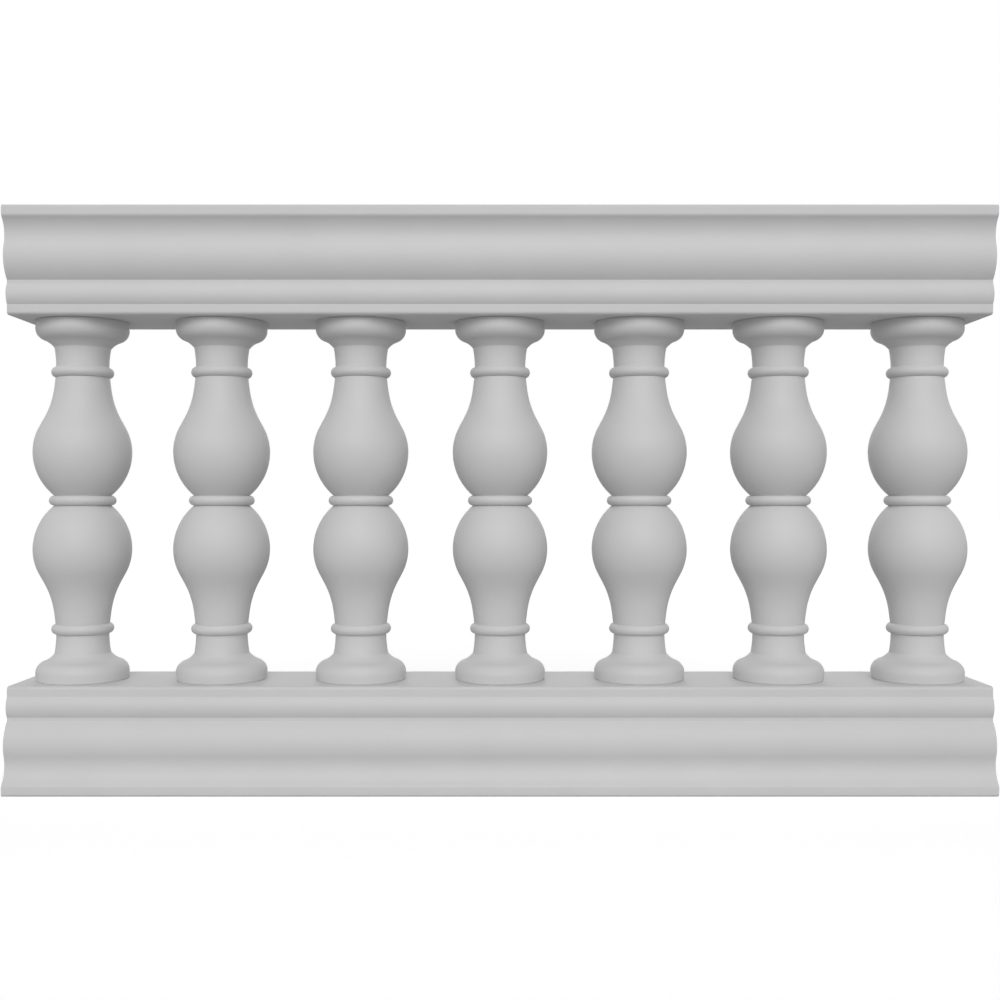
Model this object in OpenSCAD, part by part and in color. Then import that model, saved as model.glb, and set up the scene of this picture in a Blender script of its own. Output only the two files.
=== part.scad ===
// Fiberglass balustrade panel: turned balusters stand between a bottom rail and a top rail. Both rails
// are the same hollow moulding, the top one turned over. A steel pipe runs up the middle of each
// baluster and a little way into both rails, and ties the panel together.
// X runs along the panel, Y across it and Z up. The panel stands on z = 0, centred on x = 0 and y = 0.

/* [Panel] */
// Length of both rails
panel_length = 1524; // [1500:1:2400]
// Distance from one baluster's centre to the next
baluster_spacing = 224.5; // [155:0.5:228]

/* [Rails] */
// Height of a rail, from its inner face to its outer face
rail_height = 165; // [162:1:200]
// Width of the flat seat that the balusters stand on
rail_seat_width = 164; // [160:1:168]
// Width over the outer lips
rail_lip_width = 220; // [216:1:224]

/* [Balusters] */
// Height of a baluster between the rails
baluster_height = 575; // [565:1:700]
// Radius of the belly at its fullest
belly_radius = 76.4; // [72:0.1:92]
// Largest radius of the round cap at each end
cap_radius = 72.4; // [68:0.1:82]
// Radius of the neck where it leaves its bead
neck_radius = 40.7; // [34:0.1:42]

/* [Shells and pipes] */
// Wall thickness of the fiberglass
wall = 5; // [3:0.5:6]
// Outside diameter of a pipe
pipe_diameter = 45.5; // [30:0.1:56]
// Wall thickness of a pipe
pipe_wall = 3; // [2:0.1:5]
// How far a pipe reaches into each rail
pipe_reach = 57; // [20:1:100]
// Gap all round a pipe where it passes through the fiberglass
pipe_clearance = 0.3; // [0.1:0.1:0.9]

/* [Hidden] */
BALUSTERS = 7;
top_rail_z = rail_height + baluster_height;
pipe_bore = pipe_diameter / 2 + pipe_clearance;
fiberglass = [0.82, 0.82, 0.815];
steel = [0.62, 0.63, 0.64];

// The rail section is measured out from the rail's middle (y) and away from its seat (u).
// From the seat outwards: a fascia with a shallow bead, a fat ogee, a hollow and the lip.
fascia_y = rail_seat_width / 2 + 5;
seat_arris = 5;
bead_u = [16, 48];
bead_rise = 5.3;
bead_radius = pow(bead_u[1] - bead_u[0], 2) / (8 * bead_rise) + bead_rise / 2;
bead_centre = [fascia_y + bead_rise - bead_radius, (bead_u[0] + bead_u[1]) / 2];
ogee_u = 90;
ogee_y = fascia_y + 15.4;
ogee_radius = [51, 48];
hollow_u = 120;
hollow_radius = 38;
lip_y = rail_lip_width / 2;
lip_radius = 6.4;
outer_arris = 4;
// The hollow runs on from the ogee and turns out into the small round below the lip's flat edge
ogee_angle = asin((hollow_u - ogee_u) / (ogee_radius[1] + hollow_radius));
hollow_y = ogee_y - ogee_radius[1] + (ogee_radius[1] + hollow_radius) * cos(ogee_angle);
lip_angle = acos((hollow_y - lip_y + lip_radius) / (hollow_radius + lip_radius));
lip_u = hollow_u + (hollow_radius + lip_radius) * sin(lip_angle);

// The baluster's profile is measured out from its axis (r) and up from its mid-height (a).
// From the middle up: a half-round bead, the belly, a straight shoulder, a long cove and throat,
// the neck bead, the flaring neck, a cavetto and the cap's quarter-round.
half_height = baluster_height / 2;
middle_bead_radius = 7.9;
middle_bead_r = belly_radius - 32.4;
belly_a = 78;
belly_round = [92, 85];
shoulder_angle = 28;
shoulder_length = 15.5;
cove_radius = 138;
cove_angle = 9;
throat_radius = 400;
neck_bead_a = half_height - 81.5;
neck_bead_radius = 8.5;
neck_bead_r = neck_radius - 0.9;
flare_radius = 170;
cavetto_a = half_height - 42.2;
cavetto_turn = 26;
cap_a = half_height - 12.2;
cap_round = 19;
cap_round_angle = -77;
cap_taper = 1;
cap_arris = 1.5;

// The points of an arc from angle a0 to angle a1
function arc(centre, radius, a0, a1, steps) =
    [for (i = [0:steps])
        let (a = a0 + (a1 - a0) * i / steps)
        centre + radius * [cos(a), sin(a)]];

// The same points without those that repeat the one before
function distinct(points) =
    [for (i = [0:len(points) - 1])
        if (i == 0 || norm(points[i] - points[max(i - 1, 0)]) > 0.02) points[i]];

function reversed(points) = [for (i = [len(points) - 1:-1:0]) points[i]];

// One side of the rail section as [y, u], a distance t under its outer skin
function rail_side(t) =
    let (
        bead_half = acos((fascia_y - t - bead_centre[0]) / (bead_radius - t)),
        ogee_half = acos((fascia_y - t - ogee_y + ogee_radius[0]) / (ogee_radius[0] - t)),
        seat_round = max(seat_arris - t, 1),
        outer_round = max(outer_arris - t, 1)
    )
    distinct(concat(
        arc([fascia_y - t - seat_round, t + seat_round], seat_round, -90, 0, 3),
        arc(bead_centre, bead_radius - t, -bead_half, bead_half, 8),
        arc([ogee_y - ogee_radius[0], ogee_u], ogee_radius[0] - t, -ogee_half, 0, 8),
        arc([ogee_y - ogee_radius[1], ogee_u], ogee_radius[1] - t, 0, ogee_angle, 3),
        arc([hollow_y, hollow_u], hollow_radius + t, 180 + ogee_angle, 180 - lip_angle, 9),
        arc([lip_y - lip_radius, lip_u], lip_radius - t, -lip_angle, 0, 3),
        arc([lip_y - t - outer_round, rail_height - t - outer_round], outer_round, 0, 90, 3)
    ));

module rail_section(t) {
    side = rail_side(t);
    polygon(concat(side, [for (p = reversed(side)) [-p[0], p[1]]]));
}

// A rail lying along X with its seat at z = 0 and its outer face above
module rail() {
    difference() {
        rotate([90, 0, 90])
            linear_extrude(panel_length, center = true)
                difference() {
                    rail_section(0);
                    rail_section(wall);
                }
        for (i = [1:BALUSTERS])
            translate([baluster_x(i), 0, -1])
                cylinder(h = wall + 2, r = pipe_bore, $fn = 72);
    }
}

// The long curves of half a baluster as [r, a], a distance t under its skin, from radius start_r
// near mid-height to the underside of the neck bead
function belly_to_throat(t, start_r) =
    let (
        lower = [belly_radius - belly_round[0], belly_a],
        upper = [belly_radius - belly_round[1], belly_a],
        start_angle = -acos((start_r - lower[0]) / (belly_round[0] - t)),
        along = [-sin(shoulder_angle), cos(shoulder_angle)],
        out = [cos(shoulder_angle), sin(shoulder_angle)],
        cove = upper + (belly_round[1] + cove_radius) * out + shoulder_length * along,
        throat = cove + (throat_radius - cove_radius) * [cos(cove_angle), sin(cove_angle)],
        end_a = neck_bead_a - neck_bead_radius,
        end_angle = asin((throat[1] - end_a) / (throat_radius + t))
    )
    concat(
        arc(lower, belly_round[0] - t, start_angle, 0, 8),
        arc(upper, belly_round[1] - t, 0, shoulder_angle, 5),
        arc(cove, cove_radius + t, 180 + shoulder_angle, 180 + cove_angle, 5),
        arc(throat, throat_radius + t, 180 + cove_angle, 180 + end_angle, 2)
    );

// The neck as [r, a], a distance t under the skin, and the cavetto from it to the cap's round
function neck_to_cap(t) =
    let (
        flare_a = neck_bead_a + neck_bead_radius,
        flare_angle = asin((cavetto_a - flare_a) / flare_radius),
        flare = [neck_radius + flare_radius, flare_a],
        foot = [neck_radius + flare_radius * (1 - cos(flare_angle)), cavetto_a],
        head = [cap_radius - cap_round, cap_a]
            + cap_round * [cos(cap_round_angle), sin(cap_round_angle)],
        chord = head - foot,
        first = atan2(chord[0], chord[1]) - cavetto_turn / 2,
        cavetto_radius = norm(chord) / (2 * sin(cavetto_turn / 2)),
        cavetto = foot + cavetto_radius * [cos(first), -sin(first)]
    )
    concat(
        arc(flare, flare_radius + t, 180, 180 - flare_angle, 3),
        arc(cavetto, cavetto_radius + t, 180 - first, 180 - first - cavetto_turn, 4)
    );

// Upper half of the outer profile, from mid-height to the top face
function baluster_outside() =
    concat(
        arc([middle_bead_r, 0], middle_bead_radius, 0, 90, 6),
        belly_to_throat(0, middle_bead_r),
        arc([neck_bead_r, neck_bead_a], neck_bead_radius, -80, 80, 10),
        neck_to_cap(0),
        arc([cap_radius - cap_round, cap_a], cap_round, cap_round_angle, 0, 7),
        [[cap_radius - cap_taper, half_height - cap_arris]],
        [[cap_radius - cap_taper - cap_arris, half_height]]
    );

// Upper half of the inner profile, from mid-height to the underside of the end plate
function baluster_inside() =
    concat(
        [[middle_bead_r - wall, 0]],
        belly_to_throat(wall, middle_bead_r - wall),
        neck_to_cap(wall),
        arc([cap_radius - cap_round, cap_a], cap_round - wall, cap_round_angle, 0, 5),
        [[cap_radius - wall - cap_taper, half_height - wall]]
    );

// A half profile with its mirror image below mid-height, from the bottom up
function both_halves(half) =
    distinct(concat([for (p = reversed(half)) [p[0], -p[1]]], half));

// A hollow baluster with closed ends that are bored for the pipe, standing on z = 0
module baluster() {
    translate([0, 0, half_height])
        rotate_extrude($fn = 96)
            polygon(concat(
                [[pipe_bore, -half_height]],
                both_halves(baluster_outside()),
                [[pipe_bore, half_height], [pipe_bore, half_height - wall]],
                reversed(both_halves(baluster_inside())),
                [[pipe_bore, wall - half_height]]
            ));
}

// A pipe standing with its lower end at z = 0
module pipe() {
    pipe_length = baluster_height + 2 * pipe_reach;
    difference() {
        cylinder(h = pipe_length, d = pipe_diameter, $fn = 72);
        translate([0, 0, -1])
            cylinder(h = pipe_length + 2, d = pipe_diameter - 2 * pipe_wall, $fn = 72);
    }
}

function baluster_x(i) = (i - (BALUSTERS + 1) / 2) * baluster_spacing;

module bottom_rail() {
    color(fiberglass) translate([0, 0, rail_height]) mirror([0, 0, 1]) rail();
}

module top_rail() {
    color(fiberglass) translate([0, 0, top_rail_z]) rail();
}

module placed_baluster(i) {
    color(fiberglass) translate([baluster_x(i), 0, rail_height]) baluster();
}

module placed_pipe(i) {
    color(steel) translate([baluster_x(i), 0, rail_height - pipe_reach]) pipe();
}

bottom_rail();
top_rail();
for (i = [1:BALUSTERS]) {
    placed_baluster(i);
    placed_pipe(i);
}
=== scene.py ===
"""A fiberglass balustrade panel: two hollow moulded rails with a row of turned balusters between them,
each threaded on a steel pipe. Metres, X along the panel, Z up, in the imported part's own frame."""

import math

import bmesh
import bpy
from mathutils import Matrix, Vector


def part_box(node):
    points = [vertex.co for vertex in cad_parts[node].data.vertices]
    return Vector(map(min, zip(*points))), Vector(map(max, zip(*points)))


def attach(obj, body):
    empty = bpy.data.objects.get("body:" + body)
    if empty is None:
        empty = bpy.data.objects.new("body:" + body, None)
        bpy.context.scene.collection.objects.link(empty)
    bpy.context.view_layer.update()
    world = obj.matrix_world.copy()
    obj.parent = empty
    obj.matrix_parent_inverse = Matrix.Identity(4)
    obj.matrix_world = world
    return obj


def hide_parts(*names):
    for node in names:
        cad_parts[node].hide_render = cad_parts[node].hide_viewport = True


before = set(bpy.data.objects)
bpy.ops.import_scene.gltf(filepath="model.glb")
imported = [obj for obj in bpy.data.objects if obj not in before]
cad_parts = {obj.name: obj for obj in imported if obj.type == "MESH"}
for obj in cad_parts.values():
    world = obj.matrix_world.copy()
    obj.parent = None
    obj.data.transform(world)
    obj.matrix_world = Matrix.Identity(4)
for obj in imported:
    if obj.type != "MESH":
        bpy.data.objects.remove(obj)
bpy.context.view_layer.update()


# --- Rails -------------------------------------------------------------------------------------
# The bottom and top rail are one hollow fiberglass moulding about 5 mm thick, laid up in an open mould,
# trimmed square at both ends and sprayed with matte grey-white primer. The top rail is the same moulding
# turned over. Each has a row of holes in its seat that the pipes pass through.

MM = 0.001
rail_low, rail_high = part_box("bottom_rail")
seat_z = {"bottom_rail": rail_high.z, "top_rail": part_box("top_rail")[0].z}
rail_length = (rail_high.x - rail_low.x) / MM
rail_height = (rail_high.z - rail_low.z) / MM
lip_y = rail_high.y / MM
first_low, first_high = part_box("baluster_1")
baluster_count = sum(name.startswith("baluster_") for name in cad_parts)
first_x = (first_low.x + first_high.x) / 2
spacing = (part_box("baluster_2")[0] - first_low).x
pipe_low, pipe_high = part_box("pipe_1")
pipe_radius = (pipe_high.x - pipe_low.x) / 2 / MM
pipe_clearance = 0.3
wall = 5.0

seat_half = 82.0
seat_arris = 5.0
fascia_y = seat_half + 5.0
bead_u = (16.0, 48.0)
bead_rise = 5.3
ogee_u, ogee_y = 90.0, fascia_y + 15.4
ogee_radius = (51.0, 48.0)
hollow_u, hollow_radius = 120.0, 38.0
lip_radius = 6.4
outer_arris = 4.0
cut_edge = 0.8
smallest_round = 0.6
crease_angle = 24.0
bore_segments = 96
drill_depth = 4 * wall
# An arc starts this many degrees past the end of the one before it, so that no point repeats
arc_gap, lip_gap = 1.0, 4.0


def arc(centre, radius, start, end, steps):
    """Points along an arc, from one angle to another in degrees."""
    angles = [math.radians(start + (end - start) * i / steps) for i in range(steps + 1)]
    return [(centre[0] + radius * math.cos(a), centre[1] + radius * math.sin(a)) for a in angles]


def rail_side(depth):
    """One side of the rail's section, in mm out from its middle and away from its seat, at a depth
    under the outer skin: seat arris, fascia with its bead, ogee, hollow, lip and outer arris."""
    chord = bead_u[1] - bead_u[0]
    bead_radius = chord ** 2 / (8 * bead_rise) + bead_rise / 2
    bead_y = fascia_y + bead_rise - bead_radius
    bead_half = math.degrees(math.acos((fascia_y - depth - bead_y) / (bead_radius - depth)))
    inner_y, outer_y = ogee_y - ogee_radius[0], ogee_y - ogee_radius[1]
    ogee_half = math.degrees(math.acos((fascia_y - depth - inner_y) / (ogee_radius[0] - depth)))
    reach = ogee_radius[1] + hollow_radius
    turn = math.asin((hollow_u - ogee_u) / reach)
    hollow_y = outer_y + reach * math.cos(turn)
    lip_turn = math.acos((hollow_y - lip_y + lip_radius) / (hollow_radius + lip_radius))
    lip_u = hollow_u + (hollow_radius + lip_radius) * math.sin(lip_turn)
    turn, lip_turn = math.degrees(turn), math.degrees(lip_turn)
    seat_round = max(seat_arris - depth, smallest_round)
    outer_round = max(outer_arris - depth, smallest_round)
    return (
        arc((fascia_y - depth - seat_round, depth + seat_round), seat_round, -90, 0, 16)
        + arc((bead_y, sum(bead_u) / 2), bead_radius - depth, -bead_half, bead_half, 24)
        + arc((inner_y, ogee_u), ogee_radius[0] - depth, -ogee_half, 0, 16)
        + arc((outer_y, ogee_u), ogee_radius[1] - depth, arc_gap, turn, 6)
        + arc((hollow_y, hollow_u), hollow_radius + depth, 180 - arc_gap + turn, 180 - lip_turn, 20)
        + arc((lip_y - lip_radius, lip_u), lip_radius - depth, lip_gap - lip_turn, 0, 12)
        + arc((lip_y - depth - outer_round, rail_height - depth - outer_round), outer_round, 0, 90, 16)
    )


def rail_mesh(name, up):
    """The rail as one closed shell: the outer skin, both cut ends with their edges just broken, and the
    inner skin. up is 1 where the section rises from the seat and -1 where it hangs from it."""
    half = rail_length / 2
    quarter = [(cut_edge * (1 - math.sin(a)), cut_edge * (1 - math.cos(a)))
               for a in (math.radians(d) for d in (0, 22.5, 45, 67.5, 90))]
    end = [(half - x, t) for x, t in quarter] + [(half - x, wall - t) for x, t in reversed(quarter)]
    rings = [(-x, t) for x, t in reversed(end)] + end
    loops = []
    for x, depth in rings:
        side = rail_side(depth)
        section = side + [(-y, u) for y, u in reversed(side)]
        loops.append([(x * MM, y * MM, seat_z[name] + up * u * MM) for y, u in section])
    around, count = len(loops[0]), len(loops)
    faces = [(k * around + i, k * around + (i + 1) % around,
              (k + 1) % count * around + (i + 1) % around, (k + 1) % count * around + i)
             for k in range(count) for i in range(around)]
    mesh = bpy.data.meshes.new(name)
    mesh.from_pydata([p for loop in loops for p in loop], [], faces)
    shell = bmesh.new()
    shell.from_mesh(mesh)
    bmesh.ops.recalc_face_normals(shell, faces=shell.faces)
    shell.to_mesh(mesh)
    shell.free()
    return mesh


def add(tree, kind, inputs=None, **settings):
    """Adds a node, sets its properties, and joins or sets its inputs."""
    node = tree.nodes.new(kind)
    for key, value in settings.items():
        setattr(node, key, value)
    for key, value in (inputs or {}).items():
        if isinstance(value, bpy.types.NodeSocket):
            tree.links.new(value, node.inputs[key])
        else:
            node.inputs[key].default_value = value
    return node


def linear(hex_colour):
    """An sRGB hex colour as linear RGBA."""
    parts = [int(hex_colour[i:i + 2], 16) / 255 for i in (0, 2, 4)]
    return [c / 12.92 if c <= 0.04045 else ((c + 0.055) / 1.055) ** 2.4 for c in parts] + [1.0]


def geometry_tree(name, sockets):
    """An empty Geometry Nodes tree with a mesh in, these named inputs, and a mesh out."""
    tree = bpy.data.node_groups.new(name, "GeometryNodeTree")
    tree.interface.new_socket("Geometry", in_out="OUTPUT", socket_type="NodeSocketGeometry")
    tree.interface.new_socket("Geometry", in_out="INPUT", socket_type="NodeSocketGeometry")
    for label, kind in sockets.items():
        tree.interface.new_socket(label, in_out="INPUT", socket_type="NodeSocket" + kind)
    return tree, tree.nodes.new("NodeGroupInput").outputs


def smooth_with_creases(tree, mesh, crease):
    """Shades a mesh smooth, but keeps the edges that turn more than an angle in degrees crisp."""
    angle = add(tree, "GeometryNodeInputMeshEdgeAngle")
    limit = add(tree, "ShaderNodeMath", {0: crease}, operation="RADIANS")
    soft = add(tree, "FunctionNodeCompare", {0: angle.outputs["Unsigned Angle"],
               1: limit.outputs[0]}, data_type="FLOAT", operation="LESS_THAN")
    faces = add(tree, "GeometryNodeSetShadeSmooth", {"Geometry": mesh})
    return add(tree, "GeometryNodeSetShadeSmooth", {"Geometry": faces.outputs[0],
               "Shade Smooth": soft.outputs[0]}, domain="EDGE").outputs[0]


def finish_tree(tree, mesh, material):
    """Ends a tree: its instances become one mesh, which takes its material."""
    real = add(tree, "GeometryNodeRealizeInstances", {"Geometry": mesh})
    dressed = add(tree, "GeometryNodeSetMaterial", {"Geometry": real.outputs[0], "Material": material})
    add(tree, "NodeGroupOutput", {"Geometry": dressed.outputs[0]})


def grow(name, mesh, tree, values):
    """Runs a tree on a mesh with these input values and keeps what it makes as a plain mesh."""
    piece = bpy.data.objects.new(name, mesh)
    bpy.context.scene.collection.objects.link(piece)
    modifier = piece.modifiers.new(tree.name, "NODES")
    modifier.node_group = tree
    for item in tree.interface.items_tree:
        if item.in_out == "INPUT" and item.name in values:
            modifier[item.identifier] = values[item.name]
    made = piece.evaluated_get(bpy.context.evaluated_depsgraph_get())
    grown = bpy.data.meshes.new_from_object(made)
    piece.modifiers.remove(modifier)
    piece.data = grown
    grown.name = name
    return piece


def bored_tree():
    """Drills a row of round holes through a mesh."""
    tree, given = geometry_tree("bored_row", {
        "Count": "Int", "First": "Vector", "Spacing": "Float", "Radius": "Float", "Depth": "Float",
        "Segments": "Int", "Crease": "Float", "Material": "Material"})
    step = add(tree, "ShaderNodeCombineXYZ", {"X": given["Spacing"]})
    row = add(tree, "GeometryNodeMeshLine", {"Count": given["Count"],
              "Start Location": given["First"], "Offset": step.outputs[0]}, mode="OFFSET")
    drill = add(tree, "GeometryNodeMeshCylinder", {"Vertices": given["Segments"], "Radius": given["Radius"],
                "Depth": given["Depth"]})
    drills = add(tree, "GeometryNodeInstanceOnPoints", {"Points": row.outputs[0],
                 "Instance": drill.outputs[0]})
    solid = add(tree, "GeometryNodeRealizeInstances", {"Geometry": drills.outputs[0]})
    bored = add(tree, "GeometryNodeMeshBoolean", {"Mesh 1": given["Geometry"],
                "Mesh 2": solid.outputs[0]}, operation="DIFFERENCE", solver="EXACT")
    finish_tree(tree, smooth_with_creases(tree, bored.outputs[0], given["Crease"]), given["Material"])
    return tree


patch_size, wave_size, spray_size, peel_size = 0.12, 0.07, 0.025, 0.0025
wave_height, peel_height = 0.0003, 0.00005
primer_sheen = (0.5, 0.64)


def fiberglass_material():
    """Matte primer over moulded fiberglass. It gives a pale, even grey with a soft, broad sheen, and in
    raking light the laminate's slow waviness and the spray's fine orange peel."""
    material = bpy.data.materials.new("primed_fiberglass")
    material.use_nodes = True
    tree = material.node_tree
    shader = tree.nodes["Principled BSDF"]
    place = add(tree, "ShaderNodeTexCoord").outputs["Object"]
    cloud = add(tree, "ShaderNodeTexNoise", {"Vector": place, "Scale": 1 / patch_size, "Detail": 3.0})
    tint = add(tree, "ShaderNodeMix", {"Factor": cloud.outputs[0], 6: linear("CECECE"),
               7: linear("D5D5D5")}, data_type="RGBA")
    spray = add(tree, "ShaderNodeTexNoise", {"Vector": place, "Scale": 1 / spray_size, "Detail": 4.0})
    sheen = add(tree, "ShaderNodeMapRange", {"Value": spray.outputs[0], "To Min": primer_sheen[0],
                "To Max": primer_sheen[1]})
    peel = add(tree, "ShaderNodeTexNoise", {"Vector": place, "Scale": 1 / peel_size, "Detail": 2.0})
    wave = add(tree, "ShaderNodeTexNoise", {"Vector": place, "Scale": 1 / wave_size, "Detail": 1.0})
    wavy = add(tree, "ShaderNodeBump", {"Height": wave.outputs[0], "Strength": 1.0,
               "Distance": wave_height})
    peeled = add(tree, "ShaderNodeBump", {"Height": peel.outputs[0], "Strength": 1.0,
                 "Distance": peel_height, "Normal": wavy.outputs[0]})
    tree.links.new(tint.outputs[2], shader.inputs["Base Color"])
    tree.links.new(sheen.outputs[0], shader.inputs["Roughness"])
    tree.links.new(peeled.outputs[0], shader.inputs["Normal"])
    shader.inputs["IOR"].default_value = 1.5
    return material


fiberglass = fiberglass_material()
bored = bored_tree()
for name, up in (("bottom_rail", -1), ("top_rail", 1)):
    rail = grow(name + "_moulding", rail_mesh(name, up), bored, {
        "Count": baluster_count, "First": (first_x, 0.0, seat_z[name]), "Spacing": spacing,
        "Radius": (pipe_radius + pipe_clearance) * MM, "Depth": drill_depth * MM, "Segments": bore_segments,
        "Crease": crease_angle, "Material": fiberglass})
    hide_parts(name)
    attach(rail, "root")


# --- Balusters ---------------------------------------------------------------------------------
# Each baluster is a hollow fiberglass turning in the same primer: a double vase, mirrored about a half
# round bead, with a bead at each neck and a round cap at each end. It is moulded in two halves, bonded,
# and sanded until no seam shows, and it stands between the rails' seats on its own flat ends.

baluster_height = (first_high.z - first_low.z) / MM
belly_radius = (first_high.x - first_low.x) / 2 / MM
half_height = baluster_height / 2
middle_bead_radius, middle_bead_r = 7.9, belly_radius - 32.4
belly_a, belly_round = 78.0, (92.0, 85.0)
shoulder_angle, shoulder_length = 28.0, 15.5
cove_radius, cove_angle = 138.0, 9.0
throat_radius = 400.0
neck_radius = 40.7
neck_bead_a, neck_bead_radius, neck_bead_r = half_height - 81.5, 8.5, neck_radius - 0.9
flare_radius = 170.0
cavetto_a, cavetto_turn = half_height - 42.2, 26.0
cap_radius, cap_a, cap_round, cap_round_angle = 72.4, half_height - 12.2, 19.0, -77.0
cap_taper, cap_arris = 1.0, 1.5
neck_bead_turn = 80.0
belly_gap = 3.0
same_point, weld_distance = 0.01, 1e-6
baluster_segments = 64


def belly_to_throat(depth, start_r, steps):
    """The long curves of half a baluster, from near mid-height to the neck bead, at a depth under
    its skin, as (radius, height above the middle) in mm."""
    shoulder, cove_turn = math.radians(shoulder_angle), math.radians(cove_angle)
    lower, upper = belly_radius - belly_round[0], belly_radius - belly_round[1]
    start = -math.degrees(math.acos((start_r - lower) / (belly_round[0] - depth)))
    out = belly_round[1] + cove_radius
    cove = (upper + out * math.cos(shoulder) - shoulder_length * math.sin(shoulder),
            belly_a + out * math.sin(shoulder) + shoulder_length * math.cos(shoulder))
    further = throat_radius - cove_radius
    throat = (cove[0] + further * math.cos(cove_turn), cove[1] + further * math.sin(cove_turn))
    rise = throat[1] - (neck_bead_a - neck_bead_radius)
    end = math.degrees(math.asin(rise / (throat_radius + depth)))
    return (arc((lower, belly_a), belly_round[0] - depth, start, 0, 3 * steps)
            + arc((upper, belly_a), belly_round[1] - depth, belly_gap, shoulder_angle, 2 * steps)
            + arc(cove, cove_radius + depth, 180 + shoulder_angle, 180 + cove_angle, 2 * steps)
            + arc(throat, throat_radius + depth, 180 - arc_gap + cove_angle, 180 + end, 1))


def neck_to_cap(depth, steps):
    """The flaring neck, and the cavetto that runs from it to the cap's round, at a depth under the
    skin. The two meet in a crease."""
    flare_a = neck_bead_a + neck_bead_radius
    turn = math.asin((cavetto_a - flare_a) / flare_radius)
    foot = neck_radius + flare_radius * (1 - math.cos(turn))
    across = (cap_radius - cap_round + cap_round * math.cos(math.radians(cap_round_angle))) - foot
    rise = cap_a + cap_round * math.sin(math.radians(cap_round_angle)) - cavetto_a
    half_turn = math.radians(cavetto_turn / 2)
    first = math.atan2(across, rise) - half_turn
    radius = math.hypot(across, rise) / (2 * math.sin(half_turn))
    centre = (foot + radius * math.cos(first), cavetto_a - radius * math.sin(first))
    lowest = 180 - math.degrees(first)
    return (arc((neck_radius + flare_radius, flare_a), flare_radius + depth, 180,
                180 - math.degrees(turn), steps)
            + arc(centre, radius + depth, lowest, lowest - cavetto_turn, 2 * steps))


def baluster_profile():
    """The closed outline that is turned about the axis: outer skin, end plates and inner skin."""
    outer = (arc((middle_bead_r, 0), middle_bead_radius, 0, 90, 8)
             + belly_to_throat(0, middle_bead_r, 4)
             + arc((neck_bead_r, neck_bead_a), neck_bead_radius, -neck_bead_turn, neck_bead_turn, 14)
             + neck_to_cap(0, 3)
             + arc((cap_radius - cap_round, cap_a), cap_round, cap_round_angle, 0, 11)
             + arc((cap_radius - cap_taper - cap_arris, half_height - cap_arris), cap_arris, 0, 90, 4))
    inner = ([(middle_bead_r - wall, 0)] + belly_to_throat(wall, middle_bead_r - wall, 1)
             + neck_to_cap(wall, 1)
             + arc((cap_radius - cap_round, cap_a), cap_round - wall, cap_round_angle, 0, 3)
             + [(cap_radius - wall - cap_taper, half_height - wall)])
    bore = pipe_radius + pipe_clearance
    upper = outer + [(bore, half_height), (bore, half_height - wall)] + inner[::-1]
    points = upper + [(r, -a) for r, a in upper[::-1] if a > 0]
    return [p for k, p in enumerate(points) if math.dist(p, points[k - 1]) > same_point]


def profile_mesh(name, points):
    """A closed outline as bare points in the XZ plane, in the order in which they join."""
    mesh = bpy.data.meshes.new(name)
    mesh.from_pydata([(r * MM, 0, a * MM) for r, a in points], [], [])
    return mesh


def turned_tree():
    """Turns a closed outline about Z and stands the piece in a row along X."""
    tree, given = geometry_tree("turned_row", {
        "Count": "Int", "First": "Vector", "Spacing": "Float", "Segments": "Int", "Crease": "Float",
        "Material": "Material"})
    size = add(tree, "GeometryNodeAttributeDomainSize", {"Geometry": given["Geometry"]},
               component="MESH").outputs["Point Count"]
    across = add(tree, "ShaderNodeMath", {0: given["Segments"], 1: 1.0}, operation="ADD")
    along = add(tree, "ShaderNodeMath", {0: size, 1: 1.0}, operation="ADD")
    sheet = add(tree, "GeometryNodeMeshGrid", {"Size X": 1.0, "Size Y": 1.0,
                "Vertices X": across.outputs[0], "Vertices Y": along.outputs[0]})
    here = add(tree, "ShaderNodeSeparateXYZ",
               {0: add(tree, "GeometryNodeInputPosition").outputs[0]})
    angle = add(tree, "ShaderNodeMath", {0: here.outputs["X"], 1: math.tau}, operation="MULTIPLY")
    share = add(tree, "ShaderNodeMath", {0: here.outputs["Y"], 1: 0.5}, operation="ADD")
    count = add(tree, "ShaderNodeMath", {0: share.outputs[0], 1: size}, operation="MULTIPLY")
    whole = add(tree, "ShaderNodeMath", {0: count.outputs[0]}, operation="ROUND")
    index = add(tree, "ShaderNodeMath", {0: whole.outputs[0], 1: size}, operation="FLOORED_MODULO")
    outline = add(tree, "GeometryNodeSampleIndex", {"Geometry": given["Geometry"],
                  "Value": add(tree, "GeometryNodeInputPosition").outputs[0],
                  "Index": index.outputs[0]}, data_type="FLOAT_VECTOR", domain="POINT")
    spin = add(tree, "ShaderNodeVectorRotate", {"Vector": outline.outputs[0],
               "Angle": angle.outputs[0]}, rotation_type="Z_AXIS")
    turned = add(tree, "GeometryNodeSetPosition", {"Geometry": sheet.outputs[0],
                 "Position": spin.outputs[0]})
    closed = add(tree, "GeometryNodeMergeByDistance", {"Geometry": turned.outputs[0],
                 "Distance": weld_distance})
    smooth = smooth_with_creases(tree, closed.outputs[0], given["Crease"])
    step = add(tree, "ShaderNodeCombineXYZ", {"X": given["Spacing"]})
    row = add(tree, "GeometryNodeMeshLine", {"Count": given["Count"],
              "Start Location": given["First"], "Offset": step.outputs[0]}, mode="OFFSET")
    pieces = add(tree, "GeometryNodeInstanceOnPoints", {"Points": row.outputs[0], "Instance": smooth})
    finish_tree(tree, pieces.outputs[0], given["Material"])
    return tree


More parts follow.
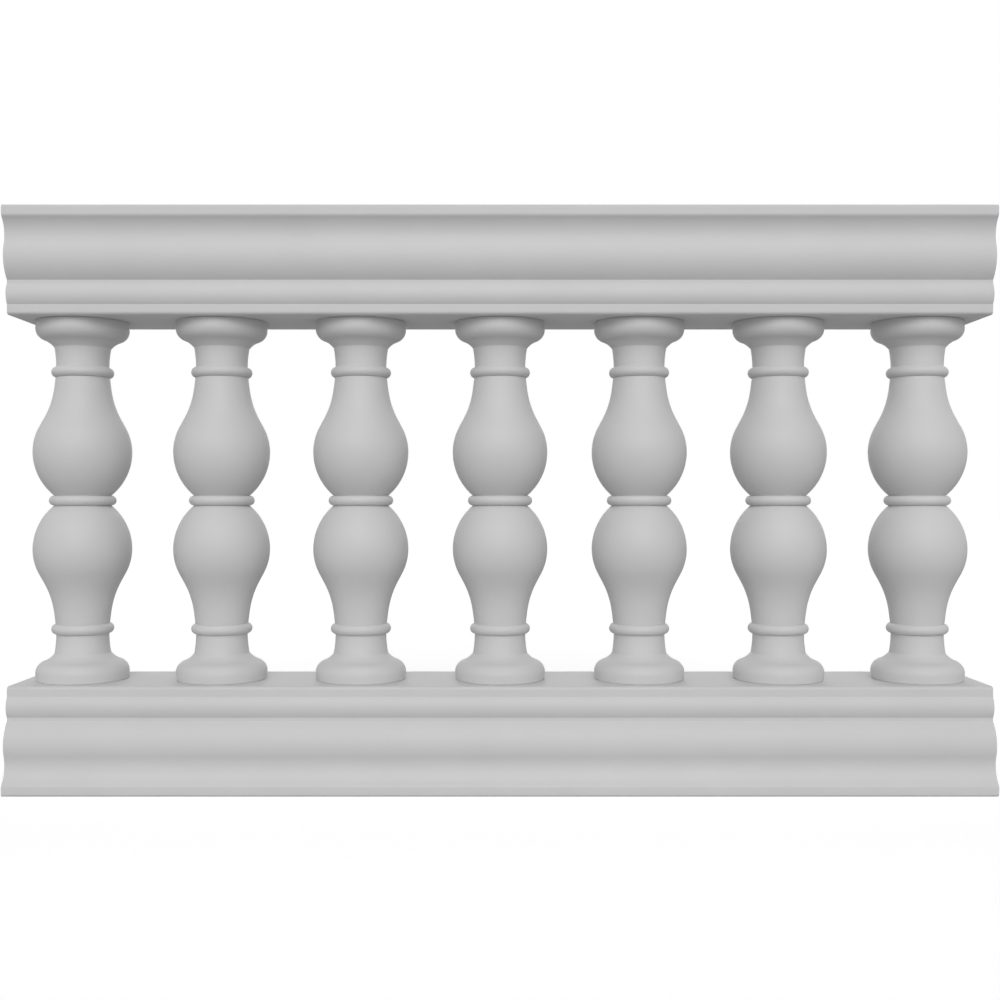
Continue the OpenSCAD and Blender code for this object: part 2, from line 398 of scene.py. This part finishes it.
turned = turned_tree()
middle_z = (first_low.z + first_high.z) / 2
balusters = grow("turned_balusters", profile_mesh("baluster_outline", baluster_profile()), turned, {
    "Count": baluster_count, "First": (first_x, 0.0, middle_z), "Spacing": spacing,
    "Segments": baluster_segments, "Crease": crease_angle, "Material": fiberglass})
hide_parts(*[f"baluster_{i + 1}" for i in range(baluster_count)])
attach(balusters, "root")


# --- Pipes -------------------------------------------------------------------------------------
# A plain drawn steel tube runs up the middle of each baluster and ends loose inside both rails. It is
# cut to length with a saw, and its ends are just deburred.

pipe_wall = 3.0
pipe_deburr = 0.4
pipe_segments = 72
streak_width, streak_squash = 0.0012, 0.02
steel_sheen = (0.32, 0.48)
score_strength, score_depth = 0.6, 0.00004


def pipe_profile():
    """The tube wall's closed outline, with its four edges broken."""
    half = (pipe_high.z - pipe_low.z) / 2 / MM
    outer, inner = pipe_radius, pipe_radius - pipe_wall
    upper = [(outer, half - pipe_deburr), (outer - pipe_deburr, half),
             (inner + pipe_deburr, half), (inner, half - pipe_deburr)]
    return upper + [(r, -a) for r, a in reversed(upper)]


def steel_material():
    """Plain mill steel tube. The draw bench leaves fine bright and dull streaks along it."""
    material = bpy.data.materials.new("drawn_steel")
    material.use_nodes = True
    tree = material.node_tree
    shader = tree.nodes["Principled BSDF"]
    place = add(tree, "ShaderNodeTexCoord").outputs["Object"]
    stretch = add(tree, "ShaderNodeMapping", {"Vector": place, "Scale": (1.0, 1.0, streak_squash)})
    streak = add(tree, "ShaderNodeTexNoise", {"Vector": stretch.outputs[0], "Scale": 1 / streak_width,
                 "Detail": 4.0})
    tint = add(tree, "ShaderNodeMix", {"Factor": streak.outputs[0], 6: linear("737271"),
               7: linear("9C9B9A")}, data_type="RGBA")
    rough = add(tree, "ShaderNodeMapRange", {"Value": streak.outputs[0], "To Min": steel_sheen[0],
                "To Max": steel_sheen[1]})
    scored = add(tree, "ShaderNodeBump", {"Height": streak.outputs[0], "Strength": score_strength,
                 "Distance": score_depth})
    tree.links.new(tint.outputs[2], shader.inputs["Base Color"])
    tree.links.new(rough.outputs[0], shader.inputs["Roughness"])
    tree.links.new(scored.outputs[0], shader.inputs["Normal"])
    shader.inputs["Metallic"].default_value = 1.0
    return material


pipes = grow("steel_pipes", profile_mesh("pipe_outline", pipe_profile()), turned, {
    "Count": baluster_count, "First": (first_x, 0.0, middle_z), "Spacing": spacing,
    "Segments": pipe_segments, "Crease": crease_angle, "Material": steel_material()})
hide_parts(*[f"pipe_{i + 1}" for i in range(baluster_count)])
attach(pipes, "root")


# --- Floor, light and camera -------------------------------------------------------------------
# The panel stands on a plain floor in a white room, and the camera sees that floor as white. A broad,
# soft light comes from in front and above, and a weaker one from low behind, which makes no reflections.
# The room's walls fill in round the sides, and less light comes from straight up and down.

floor_reach, floor_lift = 30.0, 0.67
side_fill, steep_fill = 0.72, 0.14
light_spread = 45
camera_distance, camera_raise = 1.992, 0.0008

floor_mesh = bpy.data.meshes.new("floor")
corners = [(x * floor_reach, y * floor_reach, 0) for x, y in ((-1, -1), (1, -1), (1, 1), (-1, 1))]
floor_mesh.from_pydata(corners, [], [(0, 1, 2, 3)])
floor = bpy.data.objects.new("floor", floor_mesh)
bpy.context.scene.collection.objects.link(floor)
floor_paint = bpy.data.materials.new("floor_paint")
floor_paint.use_nodes = True
floor_tree = floor_paint.node_tree
paint = floor_tree.nodes["Principled BSDF"]
paint.inputs["Base Color"].default_value = linear("C4C4C4")
paint.inputs["Roughness"].default_value = 1.0
paint.inputs["Specular IOR Level"].default_value = 0.0
rays = add(floor_tree, "ShaderNodeLightPath").outputs
lift = add(floor_tree, "ShaderNodeMath", {0: rays["Is Camera Ray"], 1: floor_lift}, operation="MULTIPLY")
glow = add(floor_tree, "ShaderNodeEmission", {"Color": (1, 1, 1, 1), "Strength": lift.outputs[0]})
lifted = add(floor_tree, "ShaderNodeAddShader", {0: paint.outputs[0], 1: glow.outputs[0]})
floor_tree.links.new(lifted.outputs[0], floor_tree.nodes["Material Output"].inputs["Surface"])
floor_mesh.materials.append(floor_paint)

room = bpy.data.worlds.new("room")
bpy.context.scene.world = room
room.use_nodes = True
room_tree = room.node_tree
walls = room_tree.nodes["Background"].inputs
rays = add(room_tree, "ShaderNodeLightPath").outputs
shown = add(room_tree, "ShaderNodeMath", {0: rays["Is Camera Ray"], 1: rays["Is Glossy Ray"]},
            operation="MAXIMUM")
way = add(room_tree, "ShaderNodeSeparateXYZ",
          {0: add(room_tree, "ShaderNodeTexCoord").outputs["Generated"]})
steep = add(room_tree, "ShaderNodeMath", {0: way.outputs["Z"]}, operation="ABSOLUTE")
fill = add(room_tree, "ShaderNodeMapRange", {"Value": steep.outputs[0], "To Min": side_fill,
           "To Max": steep_fill})
brightness = add(room_tree, "ShaderNodeMath", {0: fill.outputs[0], 1: shown.outputs[0]},
                 operation="MAXIMUM")
walls["Color"].default_value = (1, 1, 1, 1)
room_tree.links.new(brightness.outputs[0], walls["Strength"])

for name, power, height, turn in (("front_light", 1.45, 30, 0), ("back_light", 1.1, 12, 180)):
    light = bpy.data.lights.new(name, "SUN")
    light.energy = power
    light.angle = math.radians(light_spread)
    lamp = bpy.data.objects.new(name, light)
    lamp.rotation_euler = (math.radians(90 - height), 0, math.radians(turn))
    lamp.visible_glossy = turn == 0
    bpy.context.scene.collection.objects.link(lamp)

lens = bpy.data.cameras.new("camera")
lens.sensor_width, lens.lens = 36.0, 44.4
camera = bpy.data.objects.new("camera", lens)
camera.location = (0, -camera_distance, middle_z + camera_raise)
camera.rotation_euler = (math.radians(90), 0, 0)
bpy.context.scene.collection.objects.link(camera)
bpy.context.scene.camera = camera
bpy.context.scene.view_settings.view_transform = "Standard"
